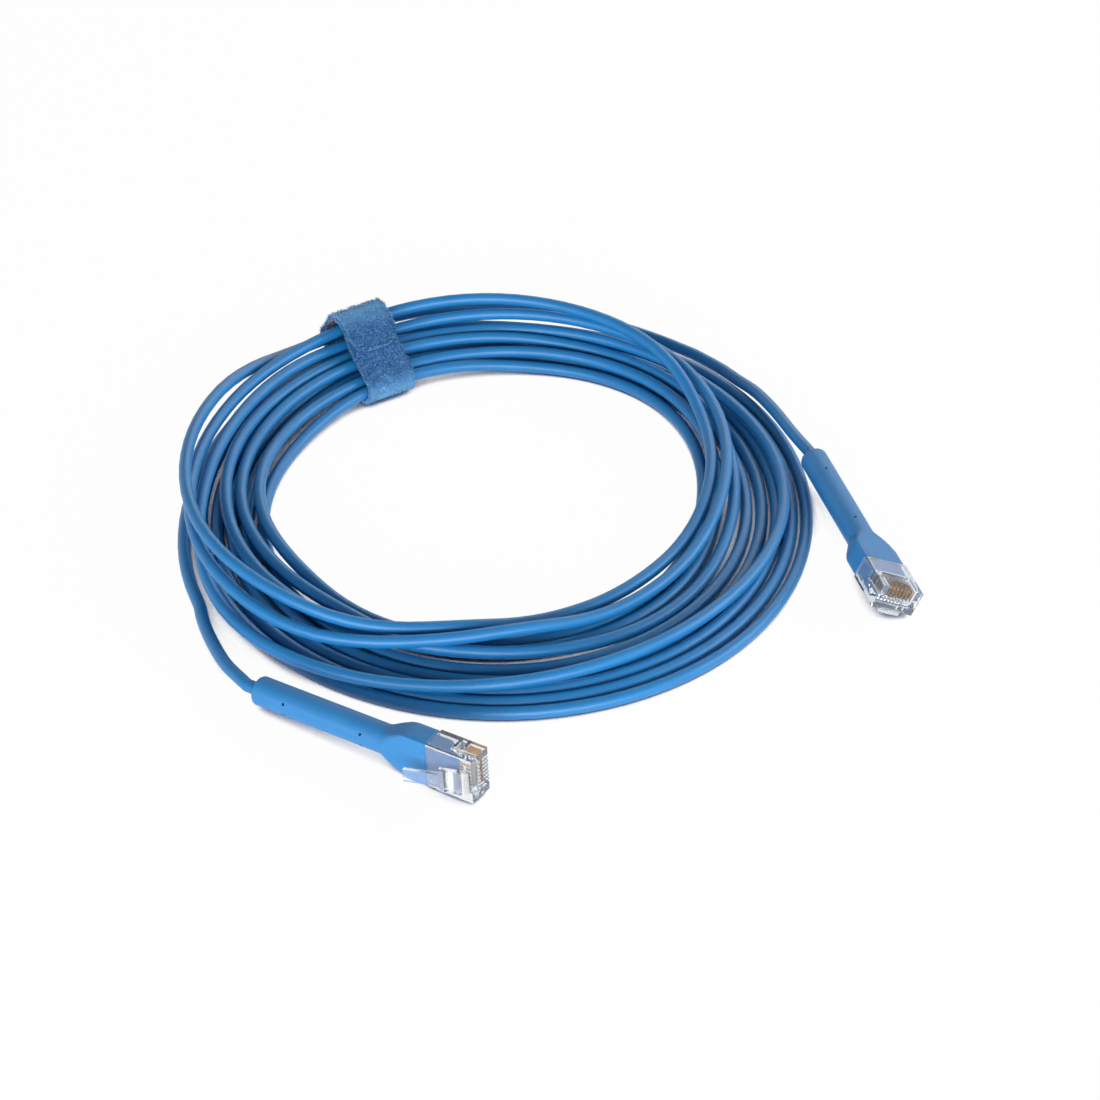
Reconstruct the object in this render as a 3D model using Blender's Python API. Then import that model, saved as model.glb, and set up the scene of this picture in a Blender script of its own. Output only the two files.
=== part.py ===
"""Network patch cable, coiled and tied: a small parametric model.

Units are millimetres in the constants and metres in the meshes.  +Z is up and the
cable lies on z = 0.  The origin is the centre of the lying cable's outline in plan.

One 3.2 mm cord runs from boot to boot: a free end, eleven and a half loops held by a
hook-and-loop strap, and a second free end.  Each end has a slim moulded boot that
flares into a clear eight-contact plug with a sprung latch.
"""
import math

import bpy
import bmesh
import numpy as np
from mathutils import Matrix, Vector

MM = 0.001

# ---- cord and coil -------------------------------------------------------------
CORD_D = 3.2                 # round jacket
SPREAD = 0.52                # air kept between crossing loops
CENTRE = (2.15, -7.08)       # shift that puts the outline's centre on the origin
OVAL = (-14.0, 22.0, 69.0, 77.5)   # mean loop: centre x, centre y, half width, half depth
START_DEG = 210.0            # where the cord enters the first loop, clockwise from above
TURNS = 11.44
PER_LOOP = 24                # tube points in a loop
FINE = 96                    # points in a loop while the heights are settled
# Each loop wanders about the mean oval.  Offsets outwards, in mm, one row per loop, at
# 180, 135, 90, 45, 0, -45, -90 and -135 degrees.
LANES = (
    (10.0,   8.6,   8.0,  10.2,  11.0,  13.4,  12.7,   9.6),
    (6.2,    4.8,   4.2,   6.4,   7.2,   9.2,   8.8,   5.8),
    (2.4,    1.0,   0.4,   2.6,   3.4,   5.2,   4.9,   2.0),
    (-1.4,  -2.8,  -3.4,  -1.2,  -0.4,   1.2,   1.1,  -1.8),
    (-5.2,  -6.6,  -7.2,  -5.0,  -4.3,  -3.1,  -3.3,  -5.9),
    (-9.8, -13.8, -13.4, -10.0, -15.4, -15.2, -14.2, -13.2),
    (-8.0, -10.2, -10.1,  -7.6, -11.6, -11.0, -10.4,  -8.6),
    (-3.3,  -4.7,  -5.3,  -3.4,  -7.3,  -6.8,  -6.3,  -3.4),
    (0.5,   -0.9,  -1.5,   1.2,   5.2,   3.4,   6.8,  13.0),
    (4.8,    3.0,   1.2,  -1.4,  -9.7, -13.0,  -8.6,   8.2),
    (8.4,    6.2,   2.8,  -5.3, -13.6, -18.0, -13.8,   4.2),
    (10.2,  11.3,  13.6,  15.0,  15.0,  13.9,  12.9,   8.0),
)
LEAD_IN = (18.6, 16.6)       # offsets half a loop-eighth before the first one

# ---- tie strap -----------------------------------------------------------------
TIE_DEG = 121.0              # place on the oval
TIE_NORMAL_DEG = 117.0       # direction of the strap's wrap plane
TIE_WIDTH = 14.5
TIE_THICK = 1.2
TIE_GAP = 0.35               # to the cord and between the strap's two layers
TIE_LIFT = 2.2               # the strap's lower run holds the loops this far up

# ---- plug ----------------------------------------------------------------------
PLUG_W, PLUG_T, PLUG_L = 11.7, 6.5, 12.3      # width, thickness, length of the clear body
WALL_SIDE, WALL_FACE = 0.85, 0.9
CAVITY_L = 5.3               # depth of the rear opening that the boot's tongue fills
PITCH_CONTACT = 1.02
CONTACTS = 8
BLADE_T, SLOT_W, SLOT_L = 0.3, 0.62, 4.55
WIRE_R, WIRE_Z = 0.3, -0.25
PIVOT = (-1.7, 0.0, -4.05)   # latch hinge line in the plug's own frame, nose at x = 0
LEVER_L, LEVER_W, SHOULDER_W = 14.0, 3.3, 6.0
LATCH_FREE = 18.0            # relaxed angle of the latch from the plug's face
LATCH_PRESSED = 6.0          # angle of the second latch, which the floor pushes in

# ---- boot ----------------------------------------------------------------------
BOOT_R = 3.55
BOOT_END = -62.5             # rear end, measured from the plug's nose
FLARE_BACK, FLARE_FRONT = -26.0, -17.8
BOOT_FRONT = -(PLUG_L + 0.3)

# ---- where the two plugs lie: nose point, heading, pitch, roll ---------------------
PLUG_A = ((-15.5, -96.7, 6.66), -33.3, 2.5, -90.0, LATCH_FREE)
PLUG_B = ((84.2, -30.1, 6.15), -75.5, -1.5, -24.8, LATCH_PRESSED)
# Free ends of the cord, from the coil to just short of the boot
ROUTE_A = ((-84.2, -32.0, 1.6), (-81.3, -40.4, 1.8), (-77.7, -48.9, 2.4), (-75.2, -53.6, 3.0))
ROUTE_B = ((47.5, 84.6, 2.3), (51.6, 77.6, 3.0), (55.4, 70.0, 4.4), (58.6, 61.6, 5.6),
           (61.4, 53.4, 6.3), (64.0, 44.6, 7.0))


def linear(hex_colour):
    """sRGB hex to the linear values that a material takes."""
    out = []
    for k in (0, 2, 4):
        c = int(hex_colour[k:k + 2], 16) / 255
        out.append(c / 12.92 if c <= 0.04045 else ((c + 0.055) / 1.055) ** 2.4)
    return (*out, 1.0)


def material(name, colour, rough, metal=0.0, clear=0.0):
    mat = bpy.data.materials.new(name)
    mat.use_nodes = True
    shader = mat.node_tree.nodes["Principled BSDF"]
    shader.inputs["Base Color"].default_value = linear(colour)
    shader.inputs["Roughness"].default_value = rough
    shader.inputs["Metallic"].default_value = metal
    shader.inputs["Transmission Weight"].default_value = clear
    return mat


def clear_scene():
    for obj in list(bpy.data.objects):
        bpy.data.objects.remove(obj, do_unlink=True)


def add(name, mesh, mat=None, parent=None, smooth=None):
    """Put a mesh in the scene as a named object."""
    obj = bpy.data.objects.new(name, mesh)
    bpy.context.scene.collection.objects.link(obj)
    obj.parent = parent
    if mat:
        mesh.materials.append(mat)
    if smooth:
        mesh.shade_smooth()
        mesh.set_sharp_from_angle(angle=math.radians(smooth))
    return obj


def finish(bm, name):
    """Turn a bmesh in millimetres into a mesh in metres with its faces outwards."""
    bmesh.ops.recalc_face_normals(bm, faces=bm.faces)
    bmesh.ops.scale(bm, vec=(MM, MM, MM), verts=bm.verts)
    mesh = bpy.data.meshes.new(name)
    bm.to_mesh(mesh)
    bm.free()
    return mesh


def add_box(bm, x0, x1, y0, y1, z0, z1):
    place = Matrix.Translation(((x0 + x1) / 2, (y0 + y1) / 2, (z0 + z1) / 2))
    size = Matrix.Diagonal((x1 - x0, y1 - y0, z1 - z0, 1))
    return bmesh.ops.create_cube(bm, size=1.0, matrix=place @ size)["verts"]


def box_mesh(name, *boxes):
    bm = bmesh.new()
    for box in boxes:
        add_box(bm, *box)
    return finish(bm, name)


def extrude_outline(name, outline, depth):
    """Extrude an outline of (x, z) points evenly to both sides of y = 0."""
    bm = bmesh.new()
    face = bm.faces.new([bm.verts.new((x, -depth / 2, z)) for x, z in outline])
    new = bmesh.ops.extrude_face_region(bm, geom=[face])["geom"]
    bmesh.ops.translate(bm, vec=(0, depth, 0), verts=[v for v in new if isinstance(v, bmesh.types.BMVert)])
    return finish(bm, name)


def loft(name, rings):
    """Skin a list of rings with the same number of points, and cap both ends."""
    bm = bmesh.new()
    rows = [[bm.verts.new(p) for p in ring] for ring in rings]
    count = len(rows[0])
    for low, high in zip(rows, rows[1:]):
        for k in range(count):
            bm.faces.new((low[k], low[(k + 1) % count], high[(k + 1) % count], high[k]))
    bm.faces.new(rows[0])
    bm.faces.new(rows[-1])
    return finish(bm, name)


def cutter(name, mesh, parent=None):
    obj = add(name, mesh, parent=parent)
    obj.hide_render = True
    obj.display_type = 'WIRE'
    return obj


def boolean(obj, other, operation='DIFFERENCE'):
    mod = obj.modifiers.new(other.name, 'BOOLEAN')
    mod.object = other
    mod.operation = operation
    mod.solver = 'EXACT'


# ---- curves --------------------------------------------------------------------
def cubic(values, at):
    """Natural cubic spline through values at 0, 1, 2 ..., read at the positions given."""
    y = np.asarray(values, float)
    n = len(y)
    a = np.zeros((n, n))
    b = np.zeros((n,) + y.shape[1:])
    a[0, 0] = a[-1, -1] = 1
    for i in range(1, n - 1):
        a[i, i - 1:i + 2] = (1, 4, 1)
        b[i] = 6 * (y[i - 1] - 2 * y[i] + y[i + 1])
    m = np.linalg.solve(a, b)
    i = np.clip(np.floor(at).astype(int), 0, n - 2)
    u = at - i
    if y.ndim > 1:
        u = u[:, None]
    curve = (m[i] * (1 - u) ** 3 + m[i + 1] * u ** 3) / 6
    return curve + (y[i] - m[i] / 6) * (1 - u) + (y[i + 1] - m[i + 1] / 6) * u


def turn_from(angle, middle):
    return (angle - middle + 180) % 360 - 180


def coil_path(floor_z):
    """Centre line of the loops: FINE points in each, resting on the loops already laid."""
    count = int(round(TURNS * FINE)) + 1
    t = np.arange(count) / FINE
    angle = START_DEG - 360 * t
    lanes = list(LEAD_IN) + [v for row in LANES for v in row]
    offset = cubic(lanes, 2 + (t - (START_DEG - 180) / 360) * 8)
    cx, cy, ax, ay = OVAL
    a = np.radians(angle)
    nx, ny = np.cos(a) / ax, np.sin(a) / ay
    size = np.hypot(nx, ny)
    x = cx + ax * np.cos(a) + offset * nx / size
    y = cy + ay * np.sin(a) + offset * ny / size
    # the strap holds the bundle up, and the last loop comes down from it slowly
    base = floor_z + TIE_LIFT * np.exp(-0.5 * (turn_from(angle, 120) / 10) ** 2)
    base += np.where(t > TURNS - 0.6, 3.4 * np.exp(-0.5 * (turn_from(angle, 108) / 20) ** 2), 0)
    reach = CORD_D + SPREAD
    gap2 = (x[:, None] - x[None]) ** 2 + (y[:, None] - y[None]) ** 2
    order = np.arange(count)
    upper, lower = np.nonzero((gap2 < reach ** 2) & (order[:, None] - order[None] > FINE // 2))
    rise = np.sqrt(reach ** 2 - gap2[upper, lower])
    span = 4
    z = base.copy()
    for _ in range(60):
        need = base.copy()
        np.maximum.at(need, upper, z[lower] + rise)
        pad = np.pad(need, span, mode='edge')
        top = np.max([pad[k:k + count] for k in range(2 * span + 1)], axis=0)
        for _again in range(2):
            pad = np.pad(top, span // 2, mode='edge')
            top = np.mean([pad[k:k + count] for k in range(span + 1)], axis=0)
        top = np.maximum(top, need)
        if np.abs(top - z).max() < 1e-4:
            break
        z = top
    return np.column_stack([x, y, z])


def resample(points, step):
    """Smooth curve through the points, read at even steps along it."""
    points = np.asarray(points, float)
    fine = cubic(points, np.linspace(0, len(points) - 1, 40 * len(points)))
    run = np.concatenate([[0], np.cumsum(np.linalg.norm(np.diff(fine, axis=0), axis=1))])
    want = np.linspace(0, run[-1], max(3, int(round(run[-1] / step)) + 1))
    return np.column_stack([np.interp(want, run, fine[:, k]) for k in range(3)])


def tube(name, points, sides, mat):
    """Solid round cord along the points."""
    curve = bpy.data.curves.new(name, 'CURVE')
    curve.dimensions = '3D'
    curve.bevel_depth = CORD_D / 2 * MM
    curve.bevel_resolution = sides
    curve.render_resolution_u = 0
    curve.use_fill_caps = True
    spline = curve.splines.new('POLY')
    spline.points.add(len(points) - 1)
    for point, (x, y, z) in zip(spline.points, points):
        point.co = ((x + CENTRE[0]) * MM, (y + CENTRE[1]) * MM, z * MM, 1)
    curve.materials.append(mat)
    obj = bpy.data.objects.new(name, curve)
    bpy.context.scene.collection.objects.link(obj)
    return obj


def dense(path, parts=8):
    """Points along each segment of a path, and the segment that each lies on."""
    u = np.arange(parts) / parts
    points = path[:-1, None] + (path[1:] - path[:-1])[:, None] * u[None, :, None]
    return points.reshape(-1, 3), np.repeat(np.arange(len(path) - 1), parts)


def least_gap(path, other=None, skip=0):
    """Least air between two cords, or between one and itself."""
    a, ka = dense(path)
    b, kb = dense(path if other is None else other)
    best = 1e9
    for s in range(0, len(a), 300):
        d = np.linalg.norm(a[s:s + 300, None] - b[None], axis=2)
        if other is None:
            d[np.abs(ka[s:s + 300, None] - kb[None]) <= skip] = 1e9
        best = min(best, d.min())
    return best - CORD_D


# ---- strap ---------------------------------------------------------------------
def hull(points):
    """Convex hull, counter-clockwise."""
    pts = sorted({(round(float(a), 3), round(float(b), 3)) for a, b in points})

    def half(seq):
        out = []
        for p in seq:
            while len(out) > 1:
                (ax, ay), (bx, by) = out[-2], out[-1]
                if (bx - ax) * (p[1] - ay) - (by - ay) * (p[0] - ax) > 0:
                    break
                out.pop()
            out.append(p)
        return out[:-1]
    return half(pts) + half(pts[::-1])


def strap_frame():
    cx, cy, ax, ay = OVAL
    a = math.radians(TIE_DEG)
    n = math.radians(TIE_NORMAL_DEG)
    centre = np.array((cx + ax * math.cos(a), cy + ay * math.sin(a)))
    outward = np.array((math.cos(n), math.sin(n)))
    along = np.array((outward[1], -outward[0]))
    return centre, outward, along


def strap(path, mat):
    """Band wrapped once round the bundle and lapped over itself on top."""
    centre, outward, along = strap_frame()
    points, _ = dense(path)
    d = points[:, :2] - centre
    near = (np.abs(d @ along) < TIE_WIDTH / 2 + 1) & (np.abs(d @ outward) < 30)
    ring = hull(np.column_stack([d[near] @ outward, points[near, 2]]))
    # walk round the hull: (corner or edge point, outward normal)
    walk = []
    count = len(ring)
    for k in range(count):
        p, q, r = (Vector(ring[(k + j) % count]) for j in (-1, 0, 1))
        before, after = (q - p).normalized(), (r - q).normalized()
        cross = max(0.0, before.x * after.y - before.y * after.x)
        swing = math.atan2(cross, before.dot(after))
        steps = max(1, math.ceil(math.degrees(swing) / 14))
        first = math.atan2(before.y, before.x) - math.pi / 2
        for s in range(steps + 1):
            a = first + swing * s / steps
            walk.append((q.copy(), Vector((math.cos(a), math.sin(a)))))
        pieces = int((r - q).length // 2.6)
        for s in range(1, pieces + 1):
            walk.append((q.lerp(r, s / (pieces + 1)), walk[-1][1].copy()))
    # start on top, a little behind the middle; go over the front, under, and up the back
    top = [k for k, (p, n) in enumerate(walk) if n.y > 0.7]
    first = min(top, key=lambda k: abs(walk[k][0].x - 5.0))
    last = min(top, key=lambda k: abs(walk[k][0].x + 5.6))
    order = [(first + k) % len(walk) for k in range(len(walk))]
    laps = order + order[:(last - first) % len(walk) + 1]
    run = [0.0]
    for i, j in zip(laps, laps[1:]):
        a, b = walk[i], walk[j]
        run.append(run[-1] + ((b[0] + b[1] * 2) - (a[0] + a[1] * 2)).length)
    lap_at = run[len(order)]
    inner, outer = [], []
    for i, s in zip(laps, run):
        u = min(1.0, max(0.0, (s - (lap_at - 9.0)) / 7.5))
        step = (TIE_THICK + TIE_GAP) * u * u * (3 - 2 * u)
        base = CORD_D / 2 + TIE_GAP + step
        p, n = walk[i]
        inner.append(p + n * base)
        outer.append(p + n * (base + TIE_THICK))
    bm = bmesh.new()
    rows = []
    for side in (-0.5, 0.5):
        shift = centre + along * TIE_WIDTH * side + np.array(CENTRE)
        row = []
        for point in inner + outer[::-1]:
            xy = shift + outward * point.x
            row.append(bm.verts.new((xy[0], xy[1], point.y)))
        rows.append(row)
    total = len(rows[0])
    half = len(inner)
    for k in range(total):
        m = (k + 1) % total
        bm.faces.new((rows[0][k], rows[0][m], rows[1][m], rows[1][k]))
    for row in rows:
        for k in range(half - 1):
            bm.faces.new((row[k], row[k + 1], row[total - 2 - k], row[total - 1 - k]))
    return add("tie_strap", finish(bm, "tie_strap"), mat, smooth=35)


# ---- plug and boot -------------------------------------------------------------
def plug_axes(pose):
    nose, heading, pitch, roll, _ = pose
    h, p, r = (math.radians(v) for v in (heading, pitch, roll))
    fore = Vector((math.cos(p) * math.cos(h), math.cos(p) * math.sin(h), math.sin(p)))
    side = Vector((-math.sin(h), math.cos(h), 0))
    up = fore.cross(side)
    y = side * math.cos(r) + up * math.sin(r)
    z = up * math.cos(r) - side * math.sin(r)
    return Vector(nose), fore, y, z


def plug_frame(name, pose):
    nose, fore, y, z = plug_axes(pose)
    frame = bpy.data.objects.new(name, None)
    bpy.context.scene.collection.objects.link(frame)
    turn = Matrix((fore, y, z)).transposed().to_4x4()
    frame.matrix_world = Matrix.Translation((nose + Vector((*CENTRE, 0))) * MM) @ turn
    return frame


def boot_exit(pose, back):
    """Point on the boot's axis, a distance behind its rear end, and the axis."""
    nose, fore, _, _ = plug_axes(pose)
    return np.array(nose + fore * (BOOT_END - back)), np.array(fore)


def rounded(x, half_y, half_z, power, count=32):
    """Section across x: a circle at power 2, a soft-cornered rectangle above it."""
    ring = []
    for k in range(count):
        a = 2 * math.pi * (k + 0.5) / count
        c, s = math.cos(a), math.sin(a)
        r = (abs(c / half_y) ** power + abs(s / half_z) ** power) ** (-1 / power)
        ring.append((x, r * c, r * s))
    return ring


def boot(tag, frame, mat):
    rings = [rounded(BOOT_END, 2.9, 2.9, 2), rounded(BOOT_END + 0.25, 3.35, 3.35, 2),
             rounded(BOOT_END + 0.8, BOOT_R, BOOT_R, 2)]
    steps = 7
    for k in range(steps + 1):
        u = k / steps
        blend = u * u * (3 - 2 * u)
        rings.append(rounded(FLARE_BACK + (FLARE_FRONT - FLARE_BACK) * u,
                             BOOT_R + (PLUG_W / 2 - BOOT_R) * blend,
                             BOOT_R + (PLUG_T / 2 - 0.05 - BOOT_R) * blend, 2 + 5 * blend))
    rings.append(rounded(BOOT_FRONT, PLUG_W / 2, PLUG_T / 2 - 0.05, 7))
    tongue_y = PLUG_W / 2 - WALL_SIDE - 0.25
    tongue_z = PLUG_T / 2 - WALL_FACE - 0.25
    rings.append(rounded(BOOT_FRONT, tongue_y, tongue_z, 9))
    tip = -PLUG_L + CAVITY_L - 0.3
    rings.append(rounded(tip - 1.1, tongue_y, tongue_z, 9))
    rings.append(rounded(tip, tongue_y - 1.2, tongue_z - 0.5, 9))
    obj = add("boot_" + tag, loft("boot_" + tag, rings), mat, frame, smooth=35)
    # pairs of moulding-pin dimples, near the rear end and near the flare, on both faces
    bm = bmesh.new()
    for x in (-52.4, -30.3):
        for face in (90, -90):
            for lean in (-11, 11):
                a = math.radians(face + lean)
                out = Vector((0, math.cos(a), math.sin(a)))
                turn = out.to_track_quat('Z', 'X').to_matrix().to_4x4()
                place = Matrix.Translation(Vector((x, 0, 0)) + out * (BOOT_R - 0.2)) @ turn
                bmesh.ops.create_cone(bm, cap_ends=True, segments=8, radius1=0.42, radius2=0.42,
                                      depth=1.6, matrix=place)
    boolean(obj, cutter("boot_dimples_" + tag, finish(bm, "boot_dimples_" + tag), frame))
    return obj


def contact_y(k):
    return (k - (CONTACTS - 1) / 2) * PITCH_CONTACT


def housing(tag, frame, mat):
    half_w, half_t = PLUG_W / 2, PLUG_T / 2
    name = "plug_housing_" + tag
    bm = bmesh.new()
    add_box(bm, -PLUG_L, 0, -half_w, half_w, -half_t, half_t)
    bmesh.ops.bevel(bm, geom=list(bm.edges), offset=0.3, segments=1, affect='EDGES')
    body = add(name, finish(bm, name), mat, frame)
    half_lip = SHOULDER_W / 2
    lip = cutter("latch_lip_" + tag, box_mesh("latch_lip_" + tag, (
        -1.9, -0.35, -half_lip, half_lip, -4.75, -half_t + 0.3)), frame)
    boolean(body, lip, 'UNION')
    front = -PLUG_L + CAVITY_L
    rear = cutter("rear_cavity_" + tag, box_mesh("rear_cavity_" + tag, (
        -PLUG_L - 1, front, -half_w + WALL_SIDE, half_w - WALL_SIDE,
        -half_t + WALL_FACE, half_t - WALL_FACE)), frame)
    channel = cutter("wire_channel_" + tag, box_mesh("wire_channel_" + tag, (
        front - 0.5, -0.8, -4.2, 4.2, WIRE_Z - 0.5, WIRE_Z + 0.5)), frame)
    pocket = cutter("bar_pocket_" + tag, box_mesh("bar_pocket_" + tag, (
        -6.6, -5.3, -4.15, 4.15, WIRE_Z + 0.3, half_t + 1)), frame)
    slots = cutter("contact_slots_" + tag, box_mesh("contact_slots_" + tag, *(
        (-SLOT_L, 0.5, contact_y(k) - SLOT_W / 2, contact_y(k) + SLOT_W / 2,
         WIRE_Z + 0.4, half_t + 1) for k in range(CONTACTS))), frame)
    bm = bmesh.new()
    turn = Matrix.Rotation(math.pi / 2, 4, 'X')
    bmesh.ops.create_cone(bm, cap_ends=True, segments=24, radius1=0.85, radius2=0.85,
                          depth=SHOULDER_W + 2, matrix=Matrix.Translation(PIVOT) @ turn)
    seat = cutter("hinge_seat_" + tag, finish(bm, "hinge_seat_" + tag), frame)
    for item in (rear, channel, pocket, slots, seat):
        boolean(body, item)
    return body


def latch(tag, frame, angle, mat):
    """Lever along -x from its hinge line: round root, wide shoulder, narrow thumb end."""
    def ring(x, half_y, low, high):
        return [(x, -half_y, low), (x, half_y, low), (x, half_y, high), (x, -half_y, high)]
    half, thumb = SHOULDER_W / 2, LEVER_W / 2
    rings = []
    for k in range(1, 7):
        a = math.radians(15 * k)
        rings.append(ring(0.6 * math.cos(a), half, -0.6 * math.sin(a), 0.6 * math.sin(a)))
    rings.append(ring(-3.2, half, -0.6, 0.55))
    rings.append(ring(-4.2, half, -0.8, 0.55))
    rings.append(ring(-5.6, half, -0.8, 0.5))
    rings.append(ring(-5.6, thumb, -0.6, 0.5))
    rings.append(ring(-LEVER_L + 1.2, thumb, -0.5, 0.4))
    rings.append(ring(-LEVER_L, thumb - 0.2, -0.45, 0.2))
    obj = add("latch_" + tag, loft("latch_" + tag, rings), mat, frame)
    obj.location = Vector(PIVOT) * MM
    obj.rotation_euler = (0, -math.radians(angle), 0)
    return obj


def blade_outline():
    """Contact blade: flat top with a round nose and three piercing points below."""
    top, low, foot = 2.7, 0.6, 0.2
    points = [(-4.3, low + 0.2), (-4.3, top)]
    for k in range(4):
        a = math.radians(90 - 30 * k)
        points.append((-1.45 + 0.5 * math.cos(a), top - 0.5 + 0.5 * math.sin(a)))
    points.append((-0.95, low))
    for x in (-1.3, -2.6, -3.9):
        points += [(x + 0.2, low), (x, foot), (x - 0.2, low)]
    return points


def plug(tag, pose, mats):
    frame = plug_frame("plug_frame_" + tag, pose)
    housing(tag, frame, mats["clear"])
    latch(tag, frame, pose[-1], mats["clear"])
    bar = (-6.4, -5.5, -3.95, 3.95, WIRE_Z + WIRE_R + 0.15, 2.9)
    add("crimp_bar_" + tag, box_mesh("crimp_bar_" + tag, bar), mats["clear"], frame)
    blade = extrude_outline("blade_" + tag, blade_outline(), BLADE_T)
    blade.materials.append(mats["gold"])
    bm = bmesh.new()
    rear, fore = -PLUG_L + CAVITY_L - 0.1, -1.1
    turn = Matrix.Rotation(math.pi / 2, 4, 'Y')
    bmesh.ops.create_cone(bm, cap_ends=True, segments=10, radius1=WIRE_R, radius2=WIRE_R,
                          depth=fore - rear, matrix=Matrix.Translation(((rear + fore) / 2, 0, 0)) @ turn)
    wire = finish(bm, "conductor_" + tag)
    wire.shade_smooth()
    wire.set_sharp_from_angle(angle=math.radians(40))
    for k in range(CONTACTS):
        obj = add(f"contact_{tag}_{k + 1}", blade, parent=frame)
        obj.location = (0, contact_y(k) * MM, 0)
        mesh = wire.copy()
        obj = add(f"conductor_{tag}_{k + 1}", mesh, mats["wires"][k], frame)
        obj.location = (0, contact_y(k) * MM, WIRE_Z * MM)
    boot(tag, frame, mats["boot"])


def free_end(name, route, coil_end, coil_way, pose, mat):
    """Cord between the coil's end and a boot; both ends straight and square."""
    rear, axis = boot_exit(pose, 0.3)
    way = coil_way / np.linalg.norm(coil_way)
    start = coil_end + way * 0.3
    inner = [start + way * CORD_D] + [np.array(p) for p in route] + [rear - axis * CORD_D]
    middle = resample(inner, 7.0)
    path = np.vstack([start, middle, rear])
    return tube(name, path, 2, mat), path


def main():
    clear_scene()
    colours = ("E8A06A", "E07A28", "A9D3A0", "2F6DB5", "9DB9DE", "3E9A55", "C9A98C", "7A4A2C")
    mats = {
        "cord": material("blue_cord_jacket", "2F7DB8", 0.45),
        "boot": material("blue_moulded_boot", "2C80C8", 0.5),
        "strap": material("blue_loop_fabric", "3A72B8", 0.95),
        "clear": material("clear_polycarbonate", "EAF2FA", 0.08, clear=0.9),
        "gold": material("gold_plated_contact", "D9A441", 0.25, metal=1.0),
        "wires": [material(f"wire_insulation_{k + 1}", c, 0.5) for k, c in enumerate(colours)],
    }
    plug("a", PLUG_A, mats)
    plug("b", PLUG_B, mats)
    path = coil_path(CORD_D / 2)
    coarse = path[::FINE // PER_LOOP]
    if (len(path) - 1) % (FINE // PER_LOOP):
        coarse = np.vstack([coarse, path[-1]])
    tube("coil", coarse, 1, mats["cord"])
    _, end_a = free_end("pigtail_a", ROUTE_A, coarse[0], coarse[0] - coarse[1], PLUG_A, mats["cord"])
    _, end_b = free_end("pigtail_b", ROUTE_B, coarse[-1], coarse[-1] - coarse[-2], PLUG_B, mats["cord"])
    strap(coarse, mats["strap"])
    print("coil runs from", coarse[0].round(1), "to", coarse[-1].round(1), "first way",
          ((coarse[0] - coarse[1]) / np.linalg.norm(coarse[0] - coarse[1])).round(3))
    length = sum(np.linalg.norm(np.diff(p, axis=0), axis=1).sum() for p in (path, end_a, end_b))
    print("least gap of the coil to itself: %.2f mm" % least_gap(coarse, skip=PER_LOOP // 2))
    print("least gap of free end a to the coil: %.2f mm" % least_gap(end_a, coarse[3:]))
    print("least gap of free end b to the coil: %.2f mm" % least_gap(end_b, coarse[:-3]))
    print("cord length between the boots: %.0f mm, coil top %.1f mm" % (length, coarse[:, 2].max() + CORD_D / 2))


main()
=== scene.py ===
"""Looks of a coiled network patch cable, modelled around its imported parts.

The cable lies on a pale floor.  Pieces are modelled in millimetres: plug pieces about the
plug's nose, which is at x = 0 and points along +x, with the contacts up, and everything
else where it lies.  settle() then puts a piece in the frame, in metres.
"""
import math
import random

import bpy
import bmesh
import numpy as np
from mathutils import Matrix, Vector
from mathutils.kdtree import KDTree

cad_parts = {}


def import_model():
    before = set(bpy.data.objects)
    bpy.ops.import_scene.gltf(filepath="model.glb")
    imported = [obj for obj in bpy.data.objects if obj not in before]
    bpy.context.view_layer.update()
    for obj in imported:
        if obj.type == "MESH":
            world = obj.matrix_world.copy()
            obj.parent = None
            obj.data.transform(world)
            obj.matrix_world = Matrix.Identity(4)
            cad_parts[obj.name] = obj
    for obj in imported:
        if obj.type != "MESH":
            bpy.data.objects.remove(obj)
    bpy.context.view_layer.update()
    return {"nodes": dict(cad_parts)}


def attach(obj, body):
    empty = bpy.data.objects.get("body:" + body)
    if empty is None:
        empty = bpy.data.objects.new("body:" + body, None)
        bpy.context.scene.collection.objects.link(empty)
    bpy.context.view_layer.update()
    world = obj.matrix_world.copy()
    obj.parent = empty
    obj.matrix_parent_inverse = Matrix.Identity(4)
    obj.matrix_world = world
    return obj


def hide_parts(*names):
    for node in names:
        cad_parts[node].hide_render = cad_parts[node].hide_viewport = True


MM = 0.001
ROOT = "cable"                       # the body that everything but the latches rides on

# ---- camera: the photograph's view -------------------------------------------------
VIEW_HEIGHT = 35.0                   # degrees above the floor
VIEW_DISTANCE = 680.0
LENS = 88.04                         # on a 36 mm sensor

# ---- cord and coil, as in the solids -----------------------------------------------
CORD_D = 3.2
CORD_SIDES = 16
SPREAD = 0.52                        # air kept between crossing loops
CENTRE = (2.15, -7.08)               # shift that puts the outline's centre on the origin
OVAL = (-14.0, 22.0, 69.0, 77.5)     # mean loop: centre x, centre y, half width, half depth
START_DEG = 210.0                    # where the cord enters the first loop, clockwise from above
TURNS = 11.44
FINE = 96                            # points in a loop
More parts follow.
